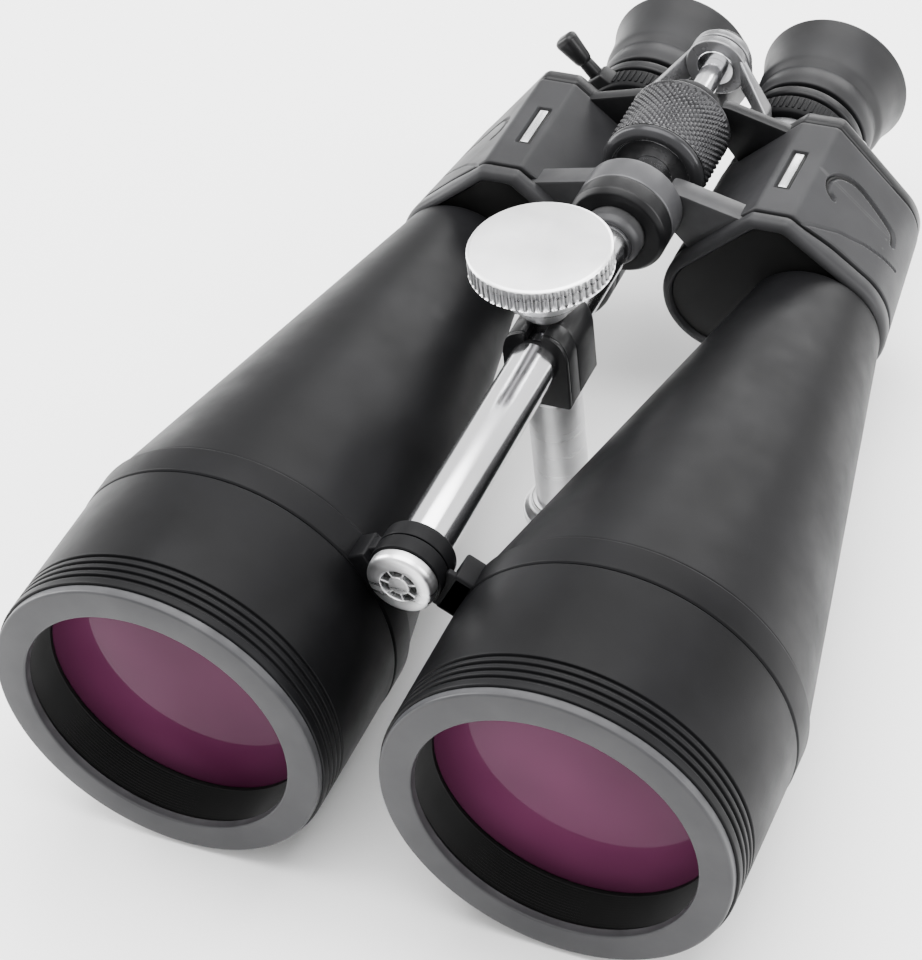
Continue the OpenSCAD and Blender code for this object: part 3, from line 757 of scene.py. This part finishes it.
def badge(side, word, body):
    """A narrow blank plate with a raised border, in a dark slot in the flat strip."""
    low_x, high_x, low_d, high_d = BADGE_BOX
    cx = side * (low_x + high_x) / 2
    cd = (low_d + high_d) / 2
    z = STRIP[2] - 0.95
    bed = box_mesh((high_x - low_x - 0.5, high_d - low_d - 0.5, 0.3), (cx, cd, z), edge=0.1)
    piece_of(word + "_badge_bed", bed, INNER, body, (), "badge_silver")
    wide = high_x - low_x - 2.1
    long = high_d - low_d - 2.0
    parts = [box_mesh((wide, long, 0.5), (cx, cd, z + 0.3), edge=0.15)]
    for k in (-1, 1):
        parts.append(box_mesh((0.3, long - 0.6, 0.3), (cx + k * (wide / 2 - 0.4), cd, z + 0.55), edge=0.1))
        parts.append(box_mesh((wide - 0.6, 0.3, 0.3), (cx, cd + k * (long / 2 - 0.4), z + 0.55), edge=0.1))
    piece_of(word + "_badge_plate", join_mesh(parts), BADGE, body, [word + "_badge"], "badge_silver", merge=False)


# ---------------------------------------------------------------- eyepieces

TUBE_BORE = 13.9


def eyecup_outline():
    outside = [(17.3, 307.3, 0.3), (20.4, 307, 0.9), (21.2, 310.5, 2), (21.0, 314, 1.2), (20.6, 316.2, 0.7),
               (21.4, 317.6, 0.7), (22.3, 319.4, 1.5), (22.7, 325, 3), (23.6, 331, 3), (24.9, 335.4, 1.5)]
    lip = [(25.5, 337.2, 0.7), (25.1, 338, 0.4), (24.2, 337.9, 0.5)]
    inside = [(22.6, 336.5, 1.2), (21.6, 333, 1.5), (19.8, 331.8, 1), (17.3, 331.4)]
    return outside + lip + inside


def eyepiece(side, word, ring_node, ring_body, ocular_body):
    """Sliding tube, zoom grip, ring, ocular and eyecup of one side."""
    axis = (side * EYEPIECE[0], EYEPIECE[1])
    body = word + "_eyepiece"
    tube = [(11.3, 262), (13.8, 262, 0.4), (13.8, 321, 0.4), (11.3, 321)]
    lathe(word + "_slide_tube", axis, tube, SATIN, body, [word + "_eyepiece_tube"], "satin_metal")
    bridge_arm(side, word, axis, body)
    zoom_grip(word, axis)
    ring = [(TUBE_BORE, 301), (20, 301, 0.5), (20.6, 301.8, 0.4), (20.6, 304.4, 0.4), (20, 305.2, 0.5),
            (TUBE_BORE, 305.2)]
    lathe(word + "_ocular_ring", axis, ring, BLACK, ring_body, [ring_node], "black_metal", turns=128)
    ocular = [(TUBE_BORE, 307), (17.2, 307), (17.2, 330.6, 0.4), (16.4, 331, 0.4), (12.6, 330.4, 0.4),
              (12.4, 329.4), (13.5, 329.3), (13.5, 323.8), (TUBE_BORE, 323.7)]
    lathe(word + "_ocular_barrel", axis, ocular, INNER, ocular_body, [word + "_ocular_tube"], "inner_black")
    lathe(word + "_eye_lens_glass", axis, lens_outline(325.5, 328, 13.45, 1.2, 0.8), GLASS, ocular_body,
          [word + "_eye_lens"], "clear_glass", turns=72, sharp=60)
    lathe(word + "_eyecup_fold", axis, eyecup_outline(), EYECUP, ocular_body, [word + "_eyecup"], "eyecup_rubber",
          turns=144, steps=5)
    look_for(word + "_zoom_cell", INNER)


def zoom_grip(word, axis):
    """The ribbed zoom ring round an eyepiece."""
    ribs = 60
    radius = 20.0
    ring = [(TUBE_BORE, 291.5, 0.3), (19.2, 291.5, 0.6), (radius, 292.6, 0.4), (radius, 299.6, 0.4),
            (19.2, 300.5, 0.5), (TUBE_BORE, 300.5)]
    parts = [lathe_mesh(axis, rounded(ring), ribs * 4)]
    for i in range(ribs):
        a = 2 * math.pi * i / ribs
        place = (axis[0] + radius * math.cos(a), 296.1, axis[1] + radius * math.sin(a))
        parts.append(box_mesh((0.9, 6, 0.9), place, Matrix.Rotation(-a, 3, "Y"), 0.25))
    piece_of(word + "_zoom_grip", join_mesh(parts), ARMOUR, word + "_zoom", [word + "_zoom_ring"], "black_armour",
             merge=False)


def bridge_arm(side, word, axis, body):
    """Knuckle on the hub, slanting arm and clip round the eyepiece tube."""
    low, high = (296.3, 300.0) if side > 0 else (300.5, 303.7)
    clip_low, clip_high = 283.3, 290.7
    knuckle = [(6.45, low, 0.2), (10.4, low, 0.7), (10.4, high, 0.7), (6.45, high, 0.2)]
    clip = [(13.85, clip_low, 0.3), (17.8, clip_low, 0.9), (17.8, clip_high, 0.9), (13.85, clip_high, 0.3)]
    arm = taper_mesh((side * 8.4, low, high, -7, 4.5), (side * 21.5, 283.7, 290.3, -14.5, -7), 0.9)
    parts = [lathe_mesh(HINGE, rounded(knuckle)), lathe_mesh(axis, rounded(clip)), arm]
    piece_of(word + "_bridge_plate", join_mesh(parts), ARM, body, [word + "_bridge_arm"], "black_metal", merge=False)


def zoom_lever():
    """A stubby stem and a smooth, swelling paddle."""
    axis = (-EYEPIECE[0], EYEPIECE[1])
    middle_d = 296
    turn = Matrix.Rotation(-math.radians(130), 3, "Y")

    def bar(start, end, first, second, edge):
        """A tapering block from one radius to another, with its (length along Y, width) at each end."""
        def shape(c):
            r, size = (end, second) if c.x > 0 else (start, first)
            q = turn @ Vector((r, c.y * size[0], c.z * size[1]))
            return Vector((axis[0] + q.x, middle_d + q.y, axis[1] + q.z))

        return block_mesh(shape, edge)

    parts = [bar(18.8, 24, (7.4, 10), (6.6, 7), 1.0), bar(22, 31, (4.6, 4.6), (4.2, 4.2), 1.5),
             bar(28.5, 41, (5, 5.4), (6.6, 8.2), 2.3)]
    piece_of("zoom_paddle", join_mesh(parts), BLACK, "right_zoom", ["zoom_lever"], "black_metal", merge=False)


# ---------------------------------------------------------------- centre

THREAD_R = 4.05
SHAFT_R = 6.3


def centre_parts():
    start, end = reach("tripod_rod")
    rod = [(0, start), (ROD_R, start, 0.3), (ROD_R, end, 0.3), (0, end)]
    lathe("rod_tube", HINGE, rod, CHROME, "center", ["tripod_rod"], "chrome")
    end_cap()
    shaft = [(THREAD_R, 205), (SHAFT_R, 205, 0.2), (SHAFT_R, 276.4, 0.4), (THREAD_R, 276.4)]
    lathe("hinge_bar", HINGE, shaft, CHROME, "center", ["hinge_shaft"], "satin_metal")
    nose = [(10, 204.6), (14.6, 204.6, 0.5), (16, 206.4, 0.5), (16, 212.1, 0.4), (6.4, 212.1), (6.4, 205.5),
            (10, 205.5)]
    lathe("nose_ring", HINGE, nose, BLACK, "center", ["hinge_nose"], "black_metal", turns=128)
    sleeve = [(ROD_R + 0.05, 199, 0.2), (8.6, 199, 0.8), (9.6, 201, 0.9), (9.6, 205.4), (ROD_R + 0.05, 205.4)]
    lathe("nose_sleeve", HINGE, sleeve, WEB, "center", (), "black_metal")
    look_for("shaft_circlip", BRIGHT)
    focus_wheel()
    start, end = reach("bridge_hub")
    shoulder = 304
    hub = [(THREAD_R, start - 0.1), (6.4, start, 0.4), (6.4, shoulder), (THREAD_R, shoulder)]
    lathe("hub_sleeve", HINGE, hub, BRIGHT, "bridge", ["bridge_hub"], "bright_steel")
    cap = [(THREAD_R, shoulder - 0.1), (8.9, shoulder - 0.1, 0.5), (8.9, end, 0.9), (5.6, end + 0.1, 0.4),
           (5, end - 0.6, 0.2), (THREAD_R, end - 0.6)]
    lathe("hub_cap", HINGE, cap, BLACK, "bridge", (), "black_metal")
    start, end = reach("focus_screw")
    screw = [(0, start), (4, start, 0.4), (4, end, 0.6), (0, end)]
    lathe("screw_spindle", HINGE, screw, BRIGHT, "bridge", ["focus_screw"], "bright_steel", turns=72)


def focus_wheel():
    """A knurled barrel between two smooth lips."""
    start, end = reach("focus_wheel")
    front_lip = [(6.4, start + 1.5), (12.5, start + 1.5, 0.5), (13.2, start, 0.4), (15, start, 0.9),
                 (17, start + 1.6, 1.2), (17, start + 3.6, 0.3), (16.2, start + 3.9, 0.2)]
    rear_lip = [(16.2, end - 1.9, 0.2), (16.9, end - 1.7, 0.3), (16.9, end - 0.8, 0.5), (15.8, end, 0.5), (6.4, end)]
    knurl = knurled_mesh(HINGE, 17.0, start + 3.9, end - 1.9, 44, 2.4, 0.75)
    parts = [lathe_mesh(HINGE, rounded(front_lip + rear_lip), 128), knurl]
    piece_of("wheel_knurled", join_mesh(parts), WHEEL, "focus_wheel", ["focus_wheel"], "knurled_black", sharp=50,
             merge=False)


def end_cap():
    """Domed front cap of the rod, with a ring of short slots round its centre."""
    front, back = 42.0, 46.2
    edge_r = 10.1
    centre_disc = [(0, front + 0.1), (3.1, front + 0.1, 0.3), (3.3, front + 1.8)]
    face = [(5.2, front + 1.8), (5.4, front, 0.3), (7.0, front + 0.05, 0.6), (9.5, front + 0.4, 1.2)]
    wall = [(edge_r, front + 1.6, 0.7), (edge_r, back, 0.3), (0, back)]
    parts = [lathe_mesh(HINGE, rounded(centre_disc + face + wall, 6), 128)]
    spokes = 7
    spoke_r = 4.25
    for i in range(spokes):
        a = 2 * math.pi * (i + 0.35) / spokes
        place = (spoke_r * math.cos(a), front + 1.0, spoke_r * math.sin(a))
        parts.append(box_mesh((2.6, 1.7, 0.6), place, Matrix.Rotation(-a, 3, "Y"), 0.1))
    piece_of("cap_spoked", join_mesh(parts), KNOB, "center", ["rod_end_cap"], "bright_steel", merge=False)
    recess = [(3.2, front + 1.6), (5.3, front + 1.6), (5.3, front + 2.0), (3.2, front + 2.0)]
    lathe("cap_recess", HINGE, recess, INNER, "center", (), "inner_black")


def adapter():
    """Split clamp on the rod, its knob above and its post and foot plate below."""
    place = (0.0, ADAPTER_D)
    clamp()
    look_for("clamp_liner", CAST)
    post = [(0, -62), (8.5, -62), (8.5, -19, 0.2), (9.1, -18.4, 0.3), (9.1, -16.1, 0.3), (0, -16.1)]
    upright("post_column", place, post, POST, "adapter", ["tripod_post"], "bright_aluminium")
    foot = [(3.2, -70, 0.3), (12.4, -70, 0.5), (13, -69, 0.5), (13, -66, 0.8), (10.4, -64.6, 1.2), (10, -62, 0.5),
            (3.2, -62)]
    upright("foot_disc", place, foot, POST, "adapter", ["tripod_foot"], "bright_aluminium")
    knob(place)
    stem = [(0, 8.9), (2.5, 8.9, 0.3), (2.5, 30.9), (0, 30.9)]
    upright("knob_stem", place, stem, BRIGHT, "clamp_knob", ["clamp_screw"], "bright_steel", turns=72)


def clamp():
    """The clamp in three plates, with a slot in its top in front of the screw."""
    start, end = reach("clamp_block")
    top = 10.2
    left = [(-10.3, -16, 1.2), (-10.3, 3, 2), (-8.6, 8.2, 2), (-5, top, 1.5)]
    right = [(-x, z, size) for x, z, size in reversed(left)]

    def profile(half_w, floor_z):
        """The clamp's outline with a slot cut down from its top."""
        slot = [(-half_w, top, 0.4), (-half_w, floor_z), (half_w, floor_z), (half_w, top, 0.4)]
        return rounded(left + slot + right, 5)

    parts = [plate_mesh(profile(2.9, 7.8), start, start + 1.7, 0.45),
             plate_mesh(profile(2.7, 4), start + 1.6, start + 7.7, 0.1),
             plate_mesh(rounded(left + right, 5), start + 7.6, end, 1.0)]
    piece_of("clamp_body", join_mesh(parts), BLACK, "adapter", ["clamp_block"], "black_metal", merge=False)


def knob(place):
    """A fluted disc on a deep cone."""
    flutes = 56
    deep = 1.2

    def fluted(r, z, a):
        if r < 21 or z < 28.3 or z > 34.6:
            return r
        return r - deep + deep * abs(math.sin(a * flutes / 2)) ** 0.5

    cone = [(2.55, 11), (6.4, 11, 0.7), (8.2, 13.4, 1.2), (18.2, 25.6, 2.0), (20.6, 27.3, 0.6), (21.3, 27.8, 0.3)]
    band = [(21.5, z, 0) for z in (28.2, 28.35, 28.9, 29.6, 31.2, 33.4, 34.1, 34.5)]
    top = [(21.3, 34.9, 0.2), (20.6, 35.3, 0.4), (8, 35.4), (0, 35.45), (0, 31), (2.55, 31)]
    upright("knob_knurled", place, cone + band + top, KNOB, "clamp_knob", ["clamp_knob"], "bright_aluminium",
            turns=flutes * 8, sharp=40, shape=fluted)


for turn_side, side_word in ((1, "left"), (-1, "right")):
    objective(turn_side, side_word)
    housing(turn_side, side_word)
eyepiece(1, "left", "left_ocular_collar", "left_eyepiece", "left_eyepiece")
eyepiece(-1, "right", "right_diopter_ring", "right_diopter", "right_ocular")
zoom_lever()
centre_parts()
adapter()

# ---------------------------------------------------------------- stage, light and camera


def floor():
    """A pale sheet just under the part."""
    mesh = bpy.data.meshes.new("floor")
    size = 6.0
    mesh.from_pydata([(-size, -size, 0), (size, -size, 0), (size, size, 0), (-size, size, 0)], [], [(0, 1, 2, 3)])
    m, tree, shader = material("floor_pale", (0.97, 0.97, 0.97), 0.7, spec=0.1)
    tree.links.new(spread(tree, noise(tree, coordinates(tree), 3), 0.55, 0.65), shader.inputs["Roughness"])
    mesh.materials.append(m)
    piece = bpy.data.objects.new("floor", mesh)
    piece.location.z = CAD_BOX[0][2] - 0.0002
    bpy.context.collection.objects.link(piece)


def softbox(name, place, aim, size, power, colour=(1, 1, 1)):
    lamp = bpy.data.lights.new(name, "AREA")
    lamp.shape = "RECTANGLE"
    lamp.size = size[0]
    lamp.size_y = size[1]
    lamp.energy = power
    lamp.color = colour
    piece = bpy.data.objects.new(name, lamp)
    piece.location = place
    piece.rotation_euler = (Vector(aim) - Vector(place)).to_track_quat("-Z", "Y").to_euler()
    bpy.context.collection.objects.link(piece)


def light():
    world = bpy.data.worlds.new("studio")
    bpy.context.scene.world = world
    world.use_nodes = True
    back = world.node_tree.nodes["Background"]
    back.inputs["Color"].default_value = (1, 1, 1, 1)
    back.inputs["Strength"].default_value = 1.55
    middle = (0, 0, 0.05)
    softbox("top", (0.0, 0.1, 1.3), middle, (1.4, 1.4), 50)
    softbox("side_left", (-1.3, 0.1, 0.55), middle, (0.5, 1.2), 26)
    softbox("side_right", (1.3, 0.2, 0.5), middle, (0.5, 1.2), 20)
    softbox("back", (0.1, 1.4, 0.6), middle, (1.2, 0.5), 18)


def camera():
    """The camera stands in front of, above and to the right of the objectives, a little rolled."""
    turn = math.radians(-28.48)
    drop = math.radians(42.23)
    roll = math.radians(-7.45)
    ahead = Vector((math.sin(turn) * math.cos(drop), math.cos(turn) * math.cos(drop), -math.sin(drop)))
    flat = Vector((math.cos(turn), -math.sin(turn), 0))
    rise = flat.cross(ahead)
    right = math.cos(roll) * flat + math.sin(roll) * rise
    up = -math.sin(roll) * flat + math.cos(roll) * rise
    eye = bpy.data.cameras.new("camera")
    eye.sensor_fit = "VERTICAL"
    eye.sensor_height = 36
    eye.lens = 105.94
    eye.clip_start = 0.05
    eye.dof.use_dof = False
    piece = bpy.data.objects.new("camera", eye)
    place = Matrix((right, up, -ahead)).transposed().to_4x4()
    place.translation = at(279.7, -430.4, 533.7)
    piece.matrix_world = place
    bpy.context.collection.objects.link(piece)
    bpy.context.scene.camera = piece


floor()
light()
camera()
